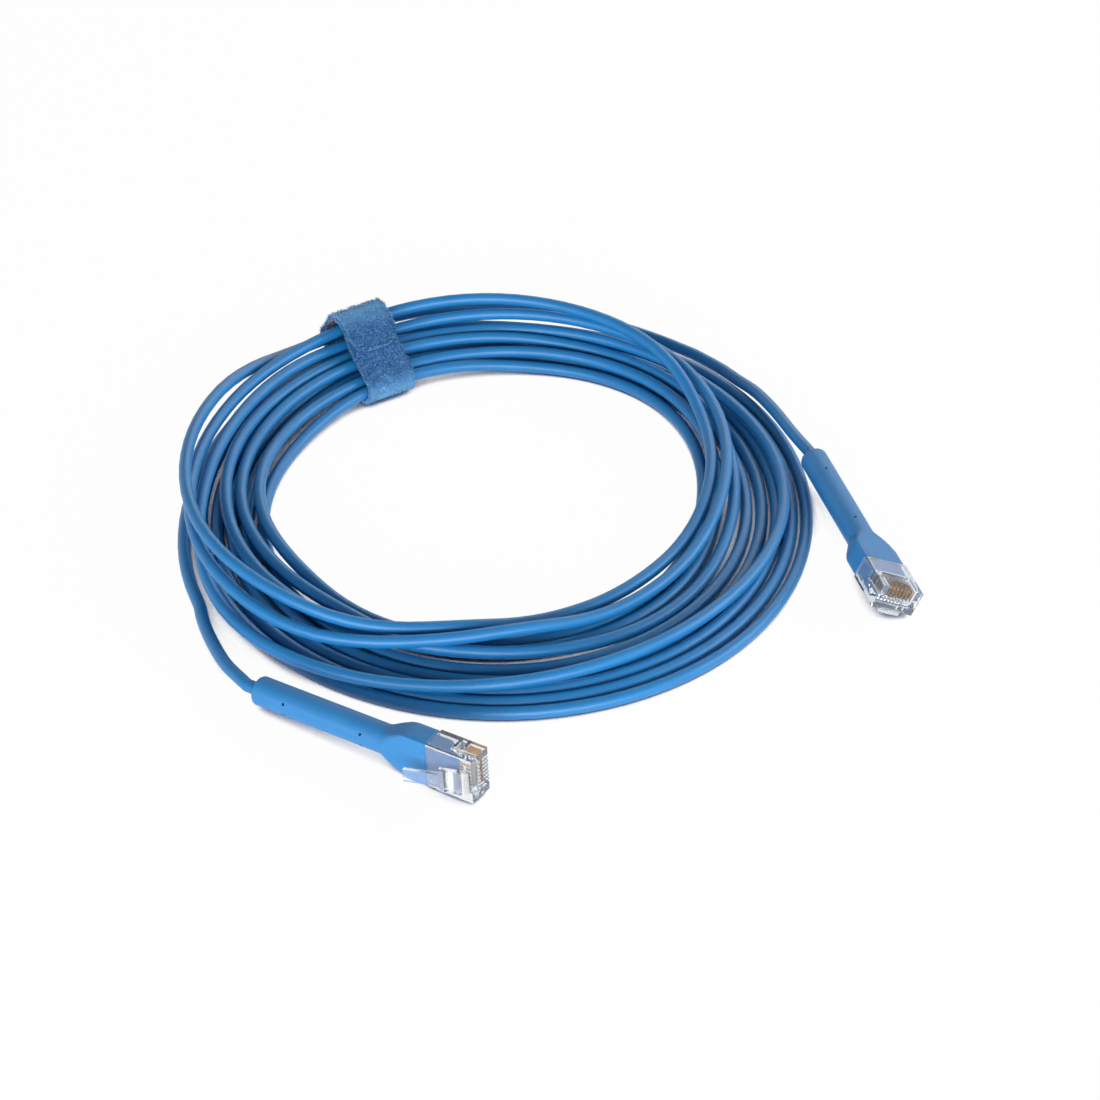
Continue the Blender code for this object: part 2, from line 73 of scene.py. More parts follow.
# Each loop wanders about the mean oval.  Offsets outwards, in mm, one row per loop, at
# 180, 135, 90, 45, 0, -45, -90 and -135 degrees.
LANES = (
    (10.0,   8.6,   8.0,  10.2,  11.0,  13.4,  12.7,   9.6),
    (6.2,    4.8,   4.2,   6.4,   7.2,   9.2,   8.8,   5.8),
    (2.4,    1.0,   0.4,   2.6,   3.4,   5.2,   4.9,   2.0),
    (-1.4,  -2.8,  -3.4,  -1.2,  -0.4,   1.2,   1.1,  -1.8),
    (-5.2,  -6.6,  -7.2,  -5.0,  -4.3,  -3.1,  -3.3,  -5.9),
    (-9.8, -13.8, -13.4, -10.0, -15.4, -15.2, -14.2, -13.2),
    (-8.0, -10.2, -10.1,  -7.6, -11.6, -11.0, -10.4,  -8.6),
    (-3.3,  -4.7,  -5.3,  -3.4,  -7.3,  -6.8,  -6.3,  -3.4),
    (0.5,   -0.9,  -1.5,   1.2,   5.2,   3.4,   6.8,  13.0),
    (4.8,    3.0,   1.2,  -1.4,  -9.7, -13.0,  -8.6,   8.2),
    (8.4,    6.2,   2.8,  -5.3, -13.6, -18.0, -13.8,   4.2),
    (10.2,  11.3,  13.6,  15.0,  15.0,  13.9,  12.9,   8.0),
)
LEAD_IN = (18.6, 16.6)               # offsets just before the first loop
TIE_LIFT = 2.2                       # the strap's lower run holds the loops this far up,
TIE_LIFT_AT, TIE_LIFT_OVER = 120, 10     # at this bearing and over this spread, in degrees
LAST_LIFT = 3.4                      # the last loop lies over the bundle here, and comes down
LAST_LIFT_AT, LAST_LIFT_OVER = 108, 20   # slowly from it
LAST_LIFT_TURNS = 0.6                # how much of the last loop this holds for
CORD_LENGTH = 5335.0                 # boot to boot
# Free ends of the cord, from the coil to just short of the boot
ROUTE_A = ((-84.2, -32.0, 1.6), (-81.3, -40.4, 1.8), (-77.7, -48.9, 2.4), (-75.2, -53.6, 3.0))
ROUTE_B = ((47.5, 84.6, 2.3), (51.6, 77.6, 3.0), (55.4, 70.0, 4.4), (58.6, 61.6, 5.6),
           (61.4, 53.4, 6.3), (64.0, 44.6, 7.0))
CORD_IN_BOOT = 3.0                   # length of cord that runs on inside each boot

# ---- tie strap ---------------------------------------------------------------------
TIE_DEG = 121.0                      # place on the oval
TIE_NORMAL_DEG = 125.0               # direction of the strap's wrap plane
TIE_LEAN = 5.0                       # how far its foot lies to the left of its top, in front
TIE_LEAN_FROM = (4.0, 8.0)           # the lean sets in this far outwards, over this length
TIE_SHIFT = 0.6                      # the whole strap lies this far to the left
TIE_HIGH = 17.0                      # top of the bundle under it
TIE_WIDTH = 14.5
TIE_THICK = 1.1
TIE_GAP = 0.4                        # to the cord and between the strap's two layers
LAP_FROM, LAP_TO = 5.0, -5.6         # where it starts and ends on top, outwards of the middle
LAP_RISE = (9.0, 7.5)                # the lap starts to rise this far before it, over this length
FLAP_RADIUS = 5.0                    # rounded corners of the loose end
FLAP_REACH = 8.0                     # length over which the corners are worked in
FIBRES = 4200                        # pile fibres; a fibre is four rings of three points
FIBRES_AT_EDGE = 0.12                # share of them that stands on the strap's edges
FIBRE_HEIGHT, FIBRE_SPAN, FIBRE_R = (0.3, 0.8), (0.35, 0.9), 0.04

# ---- plug and boot -----------------------------------------------------------------
PLUG_W, PLUG_T, PLUG_L = 11.7, 6.5, 12.3
WALL_SIDE, WALL_FACE = 0.85, 0.9
CAVITY_L = 5.3
TONGUE_TIP = -3.4                    # the boot's tongue runs out this near the nose, under the wires
PITCH_CONTACT = 1.02
CONTACTS = 8
SLOT_W, SLOT_L = 0.62, 4.55
WIRE_Z = -0.25
CHANNEL_Y = 4.2                      # half width of the wire channel
POCKET_X, POCKET_Y = (-6.6, -5.3), 4.15      # crimp-bar pocket
PIVOT = Vector((-1.7, 0.0, -4.05))   # latch hinge line
LIP_X, LIP_BOTTOM = (-1.9, -0.35), -4.75     # lip in front of the hinge
SEAT_R, ROOT_R, MATT_R = 0.85, 0.6, 0.95     # hinge seat, the latch's root, and the matt zone
LEVER_L, LEVER_W, SHOULDER_W = 14.0, 3.3, 6.0
SHOULDER_X, CATCH_X = (-5.6, -0.2), (-5.6, -4.4)
BOOT_R = 3.55
BOOT_EDGE = 0.8                      # rounding of its rear edge
BOOT_END = -62.5
BOOT_HOLE = CORD_D / 2 + 0.06
DIMPLES_X, DIMPLE_R, DIMPLE_LEAN = (-52.9, -30.8), 0.42, 25
ROUND, BOXY, TONGUE_BOXY = 2, 12, 14         # section powers, see rounded()
FLARE_BACK, FLARE_FRONT = -26.0, -17.8
BOOT_FRONT = -(PLUG_L + 0.3)
TONGUE_GAP = 0.25                    # between the tongue and the plug's walls
WIRE_COLOURS = ("E8A06A", "E07A28", "A9D3A0", "2F6DB5", "9DB9DE", "3E9A55", "C9A98C", "7A4A2C")
# Where the two plugs lie: nose point, heading, pitch, roll, latch angle
PLUGS = {
    "a": ((-15.5, -96.7, 6.66), -33.3, 2.5, -90.0, 18.0),
    "b": ((84.2, -30.1, 6.15), -75.5, -1.5, -24.8, 6.0),
}

# ---- light -------------------------------------------------------------------------
# Soft boxes: place, aim, width and height in metres, power in watts
LAMPS = {
    "front_softbox": ((-0.1, -1.1, 0.26), (0, 0, 0.01), 2.0, 0.5, 23.0),
    "side_softbox": ((0.9, 0.1, 0.4), (0, 0, 0), 0.8, 0.5, 5.0),
    "back_softbox": ((0.45, 1.15, 0.66), (0, 0, 0), 1.3, 0.45, 5.0),
}


# ==== small tools ===================================================================
def linear(hex_colour):
    """sRGB hex to the linear values that a material takes."""
    out = []
    for k in (0, 2, 4):
        c = int(hex_colour[k:k + 2], 16) / 255
        out.append(c / 12.92 if c <= 0.04045 else ((c + 0.055) / 1.055) ** 2.4)
    return (*out, 1.0)


def node(tree, kind, inputs=None, **settings):
    """Add a node: settings are its own properties, inputs are values or sockets to link."""
    made = tree.nodes.new(kind)
    for key, value in settings.items():
        setattr(made, key, value)
    for key, value in (inputs or {}).items():
        if isinstance(value, bpy.types.NodeSocket):
            tree.links.new(value, made.inputs[key])
        else:
            made.inputs[key].default_value = value
    return made


def new_material(name):
    mat = bpy.data.materials.new(name)
    mat.use_nodes = True
    mat.node_tree.nodes.clear()
    return mat, mat.node_tree


def close(tree, shader):
    node(tree, "ShaderNodeOutputMaterial", {"Surface": shader.outputs[0]})


def use_only(obj):
    bpy.ops.object.select_all(action='DESELECT')
    obj.select_set(True)
    bpy.context.view_layer.objects.active = obj
    return obj


def apply_modifier(obj, kind, **settings):
    mod = obj.modifiers.new(kind.lower(), kind)
    for key, value in settings.items():
        setattr(mod, key, value)
    use_only(obj)
    bpy.ops.object.modifier_apply(modifier=mod.name)
    return obj


def round_edges(obj, width, segments, angle=40):
    """Bevel the edges that turn by more than an angle."""
    return apply_modifier(obj, 'BEVEL', width=width, segments=segments, limit_method='ANGLE',
                          angle_limit=math.radians(angle), use_clamp_overlap=True)


def box(name, x, y, z):
    """Block between the given pairs of limits."""
    bpy.ops.object.select_all(action='DESELECT')
    centre = [(low + high) / 2 for low, high in (x, y, z)]
    size = [high - low for low, high in (x, y, z)]
    bpy.ops.mesh.primitive_cube_add(size=1, location=centre, scale=size)
    obj = bpy.context.object
    obj.name = name
    bpy.ops.object.transform_apply(location=True, rotation=True, scale=True)
    return obj


def rod(name, centre, radius, length, way, sides=32):
    """Cylinder about a centre, along a direction."""
    bpy.ops.object.select_all(action='DESELECT')
    turn = Vector(way).to_track_quat('Z', 'X').to_euler()
    bpy.ops.mesh.primitive_cylinder_add(vertices=sides, radius=radius, depth=length,
                                        location=centre, rotation=turn)
    obj = bpy.context.object
    obj.name = name
    bpy.ops.object.transform_apply(location=True, rotation=True, scale=True)
    return obj


def combine(obj, other, operation):
    apply_modifier(obj, 'BOOLEAN', object=other, operation=operation, solver='EXACT')
    bpy.data.objects.remove(other, do_unlink=True)
    return obj


def copy_of(obj, name):
    twin = obj.copy()
    twin.data = obj.data.copy()
    twin.name = name
    bpy.context.scene.collection.objects.link(twin)
    return twin


def settle(obj, name, place, mat, body, slot, *stands_for):
    """Name a finished piece, put it in its place and let it ride on its body."""
    obj.name = name
    obj.data.name = name
    obj.data.transform(place @ Matrix.Scale(MM, 4) if place else Matrix.Scale(MM, 4))
    obj.data.materials.clear()
    obj.data.materials.append(mat)
    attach(obj, body)
    if stands_for:
        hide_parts(*stands_for)
    return obj


def smooth(obj, angle=35):
    use_only(obj)
    bpy.ops.object.shade_smooth_by_angle(angle=math.radians(angle))
    return obj


# ==== the cord's route ==============================================================
def cubic(values, at):
    """Natural cubic spline through values at 0, 1, 2 ..., read at the positions given."""
    y = np.asarray(values, float)
    n = len(y)
    a = np.zeros((n, n))
    b = np.zeros((n,) + y.shape[1:])
    a[0, 0] = a[-1, -1] = 1
    for i in range(1, n - 1):
        a[i, i - 1:i + 2] = (1, 4, 1)
        b[i] = 6 * (y[i - 1] - 2 * y[i] + y[i + 1])
    m = np.linalg.solve(a, b)
    i = np.clip(np.floor(at).astype(int), 0, n - 2)
    u = at - i
    if y.ndim > 1:
        u = u[:, None]
    curve = (m[i] * (1 - u) ** 3 + m[i + 1] * u ** 3) / 6
    return curve + (y[i] - m[i] / 6) * (1 - u) + (y[i + 1] - m[i + 1] / 6) * u


def turn_from(angle, middle):
    return (angle - middle + 180) % 360 - 180


def coil_path(floor_z):
    """Centre line of the loops: FINE points in each, resting on the loops already laid."""
    count = int(round(TURNS * FINE)) + 1
    t = np.arange(count) / FINE
    angle = START_DEG - 360 * t
    lanes = list(LEAD_IN) + [v for row in LANES for v in row]
    offset = cubic(lanes, 2 + (t - (START_DEG - 180) / 360) * 8)
    cx, cy, ax, ay = OVAL
    a = np.radians(angle)
    nx, ny = np.cos(a) / ax, np.sin(a) / ay
    size = np.hypot(nx, ny)
    x = cx + ax * np.cos(a) + offset * nx / size
    y = cy + ay * np.sin(a) + offset * ny / size
    base = floor_z + TIE_LIFT * np.exp(-0.5 * (turn_from(angle, TIE_LIFT_AT) / TIE_LIFT_OVER) ** 2)
    last = LAST_LIFT * np.exp(-0.5 * (turn_from(angle, LAST_LIFT_AT) / LAST_LIFT_OVER) ** 2)
    base += np.where(t > TURNS - LAST_LIFT_TURNS, last, 0)
    reach = CORD_D + SPREAD
    gap2 = (x[:, None] - x[None]) ** 2 + (y[:, None] - y[None]) ** 2
    order = np.arange(count)
    upper, lower = np.nonzero((gap2 < reach ** 2) & (order[:, None] - order[None] > FINE // 2))
    rise = np.sqrt(reach ** 2 - gap2[upper, lower])
    span = 4
    z = base.copy()
    for _ in range(60):
        need = base.copy()
        np.maximum.at(need, upper, z[lower] + rise)
        pad = np.pad(need, span, mode='edge')
        top = np.max([pad[k:k + count] for k in range(2 * span + 1)], axis=0)
        for _again in range(2):
            pad = np.pad(top, span // 2, mode='edge')
            top = np.mean([pad[k:k + count] for k in range(span + 1)], axis=0)
        top = np.maximum(top, need)
        if np.abs(top - z).max() < 1e-4:
            break
        z = top
    return np.column_stack([x, y, z])


def resample(points, step):
    """Smooth curve through the points, read at even steps along it."""
    points = np.asarray(points, float)
    fine = cubic(points, np.linspace(0, len(points) - 1, 40 * len(points)))
    run = np.concatenate([[0], np.cumsum(np.linalg.norm(np.diff(fine, axis=0), axis=1))])
    want = np.linspace(0, run[-1], max(3, int(round(run[-1] / step)) + 1))
    return np.column_stack([np.interp(want, run, fine[:, k]) for k in range(3)])


def plug_axes(pose):
    nose, heading, pitch, roll, _ = pose
    h, p, r = (math.radians(v) for v in (heading, pitch, roll))
    fore = Vector((math.cos(p) * math.cos(h), math.cos(p) * math.sin(h), math.sin(p)))
    side = Vector((-math.sin(h), math.cos(h), 0))
    up = fore.cross(side)
    y = side * math.cos(r) + up * math.sin(r)
    z = up * math.cos(r) - side * math.sin(r)
    return Vector(nose), fore, y, z


def plug_place(tag):
    """Matrix from millimetres in the plug's own frame to metres where it lies."""
    nose, fore, y, z = plug_axes(PLUGS[tag])
    turn = Matrix((fore, y, z)).transposed().to_4x4()
    return Matrix.Translation((nose + Vector((*CENTRE, 0))) * MM) @ turn


def free_end(route, coil_end, coil_way, tag):
    """Cord between the coil's end and a boot, running straight on into the boot."""
    nose, fore, _, _ = plug_axes(PLUGS[tag])
    axis = np.array(fore)
    rear = np.array(nose + fore * (BOOT_END - 0.3))
    way = coil_way / np.linalg.norm(coil_way)
    inner = [coil_end + way * (CORD_D + 0.3), *(np.array(p) for p in route), rear - axis * CORD_D]
    inside = rear + axis * (0.3 + CORD_IN_BOOT)
    return np.vstack([resample(inner, 3.0), rear, inside])


def whole_path():
    """One line from inside boot a, round the coil, to inside boot b, in metres."""
    coil = coil_path(CORD_D / 2)
    end_a = free_end(ROUTE_A, coil[0], coil[0] - coil[1], "a")
    end_b = free_end(ROUTE_B, coil[-1], coil[-1] - coil[-2], "b")
    path = np.vstack([end_a[::-1], coil, end_b])
    path[:, :2] += CENTRE
    return path * MM


# ==== materials =====================================================================
def jacket_pvc():
    """PVC jacket, extruded: an even satin blue with a faint drawn grain along the cord."""
    mat, tree = new_material("jacket_pvc_extruded_blue")
    uv = node(tree, "ShaderNodeUVMap", uv_map="UVMap")
    # the map runs 0 to 1 along 5.3 m of cord and 0 to 1 round its 10 mm girth
    along = node(tree, "ShaderNodeMapping", {"Vector": uv.outputs[0],
                                             "Scale": (CORD_LENGTH / 6, 10 / 0.5, 1)})
    grain = node(tree, "ShaderNodeTexNoise", {"Vector": along.outputs[0], "Scale": 1.0, "Detail": 3.0})
    place = node(tree, "ShaderNodeTexCoord").outputs["Object"]
    cloud = node(tree, "ShaderNodeTexNoise", {"Vector": place, "Scale": 90.0, "Detail": 2.0})
    tint = node(tree, "ShaderNodeMix", {"Factor": cloud.outputs["Fac"], "A": linear("1368A4"),
                                        "B": linear("1A76B2")}, data_type='RGBA')
    gloss = node(tree, "ShaderNodeMapRange", {
        "Value": grain.outputs["Fac"], "To Min": 0.36, "To Max": 0.5})
    bump = node(tree, "ShaderNodeBump", {
        "Height": grain.outputs["Fac"], "Strength": 0.12, "Distance": 0.0001})
    shader = node(tree, "ShaderNodeBsdfPrincipled", {
        "Base Color": tint.outputs["Result"], "Roughness": gloss.outputs[0], "IOR": 1.53,
        "Normal": bump.outputs[0]})
    close(tree, shader)
    return mat


def boot_pvc():
    """Flexible PVC, moulded in a spark-eroded tool: matt, with a very fine even grain."""
    mat, tree = new_material("boot_pvc_moulded_blue")
    place = node(tree, "ShaderNodeTexCoord").outputs["Object"]
    # the tool's grain is near 0.1 mm; 0.25 mm is as fine as the picture can show
    grain = node(tree, "ShaderNodeTexNoise", {"Vector": place, "Scale": 4000.0, "Detail": 2.0})
    cloud = node(tree, "ShaderNodeTexNoise", {"Vector": place, "Scale": 150.0, "Detail": 2.0})
    tint = node(tree, "ShaderNodeMix", {"Factor": cloud.outputs["Fac"], "A": linear("1F6DA9"),
                                        "B": linear("297BB6")}, data_type='RGBA')
    bump = node(tree, "ShaderNodeBump", {
        "Height": grain.outputs["Fac"], "Strength": 0.2, "Distance": 0.0001})
    shader = node(tree, "ShaderNodeBsdfPrincipled", {
        "Base Color": tint.outputs["Result"], "Roughness": 0.5, "IOR": 1.53, "Normal": bump.outputs[0]})
    close(tree, shader)
    return mat


def tongue_pvc_painted_lit():
    """The same moulded PVC where clear plastic covers it, with painted light: a deeper, more vivid blue
    stands in for the lamp light that the clear plastic keeps from it.
    """
    mat, tree = new_material("boot_pvc_painted_lit_under_clear_plastic")
    place = node(tree, "ShaderNodeTexCoord").outputs["Object"]
    cloud = node(tree, "ShaderNodeTexNoise", {"Vector": place, "Scale": 300.0, "Detail": 2.0})
    tint = node(tree, "ShaderNodeMix", {"Factor": cloud.outputs["Fac"], "A": linear("0064AA"),
                                        "B": linear("0878C2")}, data_type='RGBA')
    shader = node(tree, "ShaderNodeBsdfPrincipled", {
        "Base Color": tint.outputs["Result"], "Roughness": 0.6, "IOR": 1.53})
    close(tree, shader)
    return mat


def clear_polycarbonate():
    """Polycarbonate, injection moulded and clear: hard highlights, bright refracting edges."""
    mat, tree = new_material("polycarbonate_moulded_clear")
    place = node(tree, "ShaderNodeTexCoord").outputs["Object"]
    flow = node(tree, "ShaderNodeTexNoise", {"Vector": place, "Scale": 260.0, "Detail": 1.0})
    bump = node(tree, "ShaderNodeBump", {
        "Height": flow.outputs["Fac"], "Strength": 0.08, "Distance": 0.0003})
    shader = node(tree, "ShaderNodeBsdfPrincipled", {
        "Base Color": linear("F8FBFE"), "Roughness": 0.03, "IOR": 1.585,
        "Transmission Weight": 0.94, "Normal": bump.outputs[0]})
    close(tree, shader)
    return mat


def frosted_polycarbonate():
    """The same plastic left matt by the tool round the hinge: milky, without highlights."""
    mat, tree = new_material("polycarbonate_moulded_matt")
    place = node(tree, "ShaderNodeTexCoord").outputs["Object"]
    cloud = node(tree, "ShaderNodeTexNoise", {"Vector": place, "Scale": 900.0, "Detail": 2.0})
    gloss = node(tree, "ShaderNodeMapRange", {
        "Value": cloud.outputs["Fac"], "To Min": 0.3, "To Max": 0.45})
    shader = node(tree, "ShaderNodeBsdfPrincipled", {
        "Base Color": linear("F4F4F0"), "Roughness": gloss.outputs[0], "IOR": 1.585,
        "Transmission Weight": 0.55})
    close(tree, shader)
    return mat


def contact_gold():
    """Phosphor bronze, stamped and gold plated: warm metal with fine rolling streaks."""
    mat, tree = new_material("phosphor_bronze_gold_plated")
    place = node(tree, "ShaderNodeTexCoord").outputs["Object"]
    streak = node(tree, "ShaderNodeMapping", {"Vector": place, "Scale": (400, 400, 6000)})
    grain = node(tree, "ShaderNodeTexNoise", {"Vector": streak.outputs[0], "Scale": 1.0, "Detail": 2.0})
    gloss = node(tree, "ShaderNodeMapRange", {
        "Value": grain.outputs["Fac"], "To Min": 0.18, "To Max": 0.36})
    shader = node(tree, "ShaderNodeBsdfPrincipled", {
        "Base Color": linear("BE8436"), "Metallic": 1.0, "Roughness": gloss.outputs[0]})
    close(tree, shader)
    return mat


def wire_insulation(name, colour):
    """Polyethylene wire insulation, extruded: soft waxy sheen, slightly uneven colour."""
    mat, tree = new_material(name)
    place = node(tree, "ShaderNodeTexCoord").outputs["Object"]
    cloud = node(tree, "ShaderNodeTexNoise", {"Vector": place, "Scale": 900.0})
    pale = node(tree, "ShaderNodeMapRange", {
        "Value": cloud.outputs["Fac"], "To Min": 0.6, "To Max": 0.85})
    tint = node(tree, "ShaderNodeMix", {"Factor": pale.outputs[0], "A": linear(colour),
                                        "B": linear("EFE8DC")}, data_type='RGBA')
    shader = node(tree, "ShaderNodeBsdfPrincipled", {
        "Base Color": tint.outputs["Result"], "Roughness": 0.45})
    close(tree, shader)
    return mat


def painted_sheen_by_height(tree, place, colour):
    """Painted sheen: the colour is painted paler where the strap bends over the bundle and under it,
    for the grazing light its pile catches there.
    """
    height = node(tree, "ShaderNodeSeparateXYZ", {"Vector": place}).outputs["Z"]
    over = node(tree, "ShaderNodeMapRange", {"Value": height, "From Min": 0.0145, "From Max": 0.0195})
    under = node(tree, "ShaderNodeMapRange", {"Value": height, "From Min": 0.008, "From Max": 0.0})
    share = node(tree, "ShaderNodeMath", {0: over.outputs[0], 1: under.outputs[0]}, operation='MAXIMUM')
    part = node(tree, "ShaderNodeMath", {0: share.outputs[0], 1: 0.7}, operation='MULTIPLY')
    return node(tree, "ShaderNodeMix", {"Factor": part.outputs[0], "A": colour, "B": linear("74B4DC")},
                data_type='RGBA').outputs["Result"]


def loop_fabric():
    """Brushed nylon loop tape: matt, speckled by the pile, mottled where it lies different ways."""
    mat, tree = new_material("nylon_loop_tape_brushed")
    place = node(tree, "ShaderNodeTexCoord").outputs["Object"]
    # patches near 3 mm where the pile lies over; single loops near 0.4 mm
    lie = node(tree, "ShaderNodeTexNoise", {"Vector": place, "Scale": 300.0, "Detail": 3.0})
    loops = node(tree, "ShaderNodeTexNoise", {
        "Vector": place, "Scale": 1700.0, "Detail": 2.0, "Distortion": 1.0})
    patch = node(tree, "ShaderNodeMix", {"Factor": lie.outputs["Fac"], "A": linear("0D3E80"),
                                         "B": linear("1F64A6")}, data_type='RGBA')
    # painted sheen: the mottled patch colour, painted paler at the strap's top and bottom
    sheen_painted_patch = painted_sheen_by_height(tree, place, patch.outputs["Result"])
    tip = node(tree, "ShaderNodeMapRange", {
        "Value": loops.outputs["Fac"], "From Min": 0.5, "From Max": 0.68, "To Min": 0.0, "To Max": 0.5})
    tint = node(tree, "ShaderNodeMix", {"Factor": tip.outputs[0], "A": sheen_painted_patch,
                                        "B": linear("84BEE0")}, data_type='RGBA')
    bump = node(tree, "ShaderNodeBump", {
        "Height": loops.outputs["Fac"], "Strength": 0.9, "Distance": 0.0005})
    shader = node(tree, "ShaderNodeBsdfPrincipled", {
        "Base Color": tint.outputs["Result"], "Roughness": 0.9, "Sheen Weight": 0.7,
        "Sheen Roughness": 0.25, "Sheen Tint": linear("A8D8F4"), "Normal": bump.outputs[0]})
    close(tree, shader)
    return mat


def pile_fibre():
    """Nylon monofilament, crimped: thin loops, the upper ones pale where they catch the light."""
    mat, tree = new_material("nylon_fibre_blue")
    place = node(tree, "ShaderNodeTexCoord").outputs["Object"]
    cloud = node(tree, "ShaderNodeTexNoise", {"Vector": place, "Scale": 1500.0, "Detail": 2.0})
    pale = node(tree, "ShaderNodeMapRange", {
        "Value": cloud.outputs["Fac"], "From Min": 0.4, "From Max": 0.68})
    tint = node(tree, "ShaderNodeMix", {"Factor": pale.outputs[0], "A": linear("15528F"),
                                        "B": linear("78B6DE")}, data_type='RGBA')
    # the fibres get the same painted sheen at the strap's top and bottom
    shader = node(tree, "ShaderNodeBsdfPrincipled", {
        "Base Color": painted_sheen_by_height(tree, place, tint.outputs["Result"]), "Roughness": 0.55})
    close(tree, shader)
    return mat


def hook_nylon():
    """Nylon hook tape, woven and cut: stiff clear-white hooks over a dark ground."""
    mat, tree = new_material("nylon_hook_tape")
    place = node(tree, "ShaderNodeTexCoord").outputs["Object"]
    # hooks stand about 0.5 mm apart
    hooks = node(tree, "ShaderNodeTexVoronoi", {"Vector": place, "Scale": 2000.0})
    white = node(tree, "ShaderNodeMapRange", {"Value": hooks.outputs["Distance"], "From Min": 0.3,
                                              "From Max": 0.5, "To Min": 1.0, "To Max": 0.0})
    ground = node(tree, "ShaderNodeTexNoise", {"Vector": place, "Scale": 900.0, "Detail": 2.0})
    shade = node(tree, "ShaderNodeMix", {"Factor": ground.outputs["Fac"], "A": linear("2A4A86"),
                                         "B": linear("8A6660")}, data_type='RGBA')
    tint = node(tree, "ShaderNodeMix", {"Factor": white.outputs[0], "A": shade.outputs["Result"],
                                        "B": linear("E8ECF2")}, data_type='RGBA')
    shader = node(tree, "ShaderNodeBsdfPrincipled", {
        "Base Color": tint.outputs["Result"], "Roughness": 0.5})
    close(tree, shader)
    return mat


# ==== plug pieces, modelled once about the nose and copied ==========================
def contact_y(k):
    return (k - (CONTACTS - 1) / 2) * PITCH_CONTACT


def wedge(name, rear, tip, half_y, bottom, top):
    """Ramp under the wires: full height at the rear, running out to a blunt tip."""
    obj = box(name, (rear, tip), (-half_y, half_y), (bottom, top))
    for v in obj.data.vertices:
        if v.co.x > (rear + tip) / 2 and v.co.z > (bottom + top) / 2:
            v.co.x -= 0.62 * (tip - rear)
    return obj


def housing():
    """Clear plug body: rear cavity, wire channel, crimp-bar pocket, contact slots, latch lip."""
    half_w, half_t = PLUG_W / 2, PLUG_T / 2
    body = box("housing", (-PLUG_L, 0), (-half_w, half_w), (-half_t, half_t))
    lip = box("lip", LIP_X, (-SHOULDER_W / 2, SHOULDER_W / 2), (LIP_BOTTOM, -half_t + 0.3))
    round_edges(lip, 0.5, 4)
    combine(body, lip, 'UNION')
    front = -PLUG_L + CAVITY_L
    combine(body, box("cavity", (-PLUG_L - 1, front), (-half_w + WALL_SIDE, half_w - WALL_SIDE),
                      (-half_t + WALL_FACE, half_t - WALL_FACE)), 'DIFFERENCE')
    ramp = wedge("ramp", front - 0.6, TONGUE_TIP + 0.3, half_w - WALL_SIDE, -half_t + WALL_FACE, -0.8)
    combine(body, ramp, 'DIFFERENCE')
    channel = box("channel", (front - 0.5, -0.8), (-CHANNEL_Y, CHANNEL_Y), (WIRE_Z - 0.5, WIRE_Z + 0.5))
    combine(body, channel, 'DIFFERENCE')
    pocket = box("pocket", POCKET_X, (-POCKET_Y, POCKET_Y), (WIRE_Z + 0.3, half_t + 1))
    combine(body, pocket, 'DIFFERENCE')
    for k in range(CONTACTS):
        y = contact_y(k)
        combine(body, box("slot", (-SLOT_L, 0.5), (y - SLOT_W / 2, y + SLOT_W / 2),
                          (WIRE_Z + 0.4, half_t + 1)), 'DIFFERENCE')
    combine(body, rod("seat", PIVOT, SEAT_R, SHOULDER_W + 2, (0, 1, 0), 40), 'DIFFERENCE')
    round_edges(body, 0.1, 2)
    return smooth(body, 15)


def latch():
    """Sprung lever about its hinge line: round root, wide shoulder, narrow thumb end."""
    lever = box("latch", (-LEVER_L, -0.3), (-LEVER_W / 2, LEVER_W / 2), (-0.45, 0.35))
    shoulder = box("shoulder", SHOULDER_X, (-SHOULDER_W / 2, SHOULDER_W / 2), (-0.6, 0.5))
    combine(lever, shoulder, 'UNION')
    catch = box("catch", CATCH_X, (-SHOULDER_W / 2, SHOULDER_W / 2), (-0.85, 0.2))
    combine(lever, catch, 'UNION')
    combine(lever, rod("root", (0, 0, 0), ROOT_R, SHOULDER_W, (0, 1, 0), 32), 'UNION')
    round_edges(lever, 0.14, 2)
    return smooth(lever, 15)


def matt_round_hinge(obj, to_plug, mat):
    """Give the faces at the hinge the tool's matt finish."""
    obj.data.materials.append(mat)
    for face in obj.data.polygons:
        spot = (to_plug @ face.center) / MM - PIVOT
        if math.hypot(spot.x, spot.z) < MATT_R:
            face.material_index = 1


def pull_ring(obj, x, section):
    """Extrude the selected end face to x, and give its edge points a new distance from the axis."""
    bpy.ops.mesh.extrude_region_move(TRANSFORM_OT_translate={"value": (0, 0, 0)})
    bm = bmesh.from_edit_mesh(obj.data)
    for v in bm.verts:
        if v.select:
            a = math.atan2(v.co.z, v.co.y)
            r = section(a)
            v.co = (x, r * math.cos(a), r * math.sin(a))
    bmesh.update_edit_mesh(obj.data)


def rounded(half_y, half_z, power):
    """Section as a distance by bearing: a circle at power 2, a soft-cornered rectangle above it."""
    def distance(a):
        return (abs(math.cos(a) / half_y) ** power + abs(math.sin(a) / half_z) ** power) ** (-1 / power)
    return distance


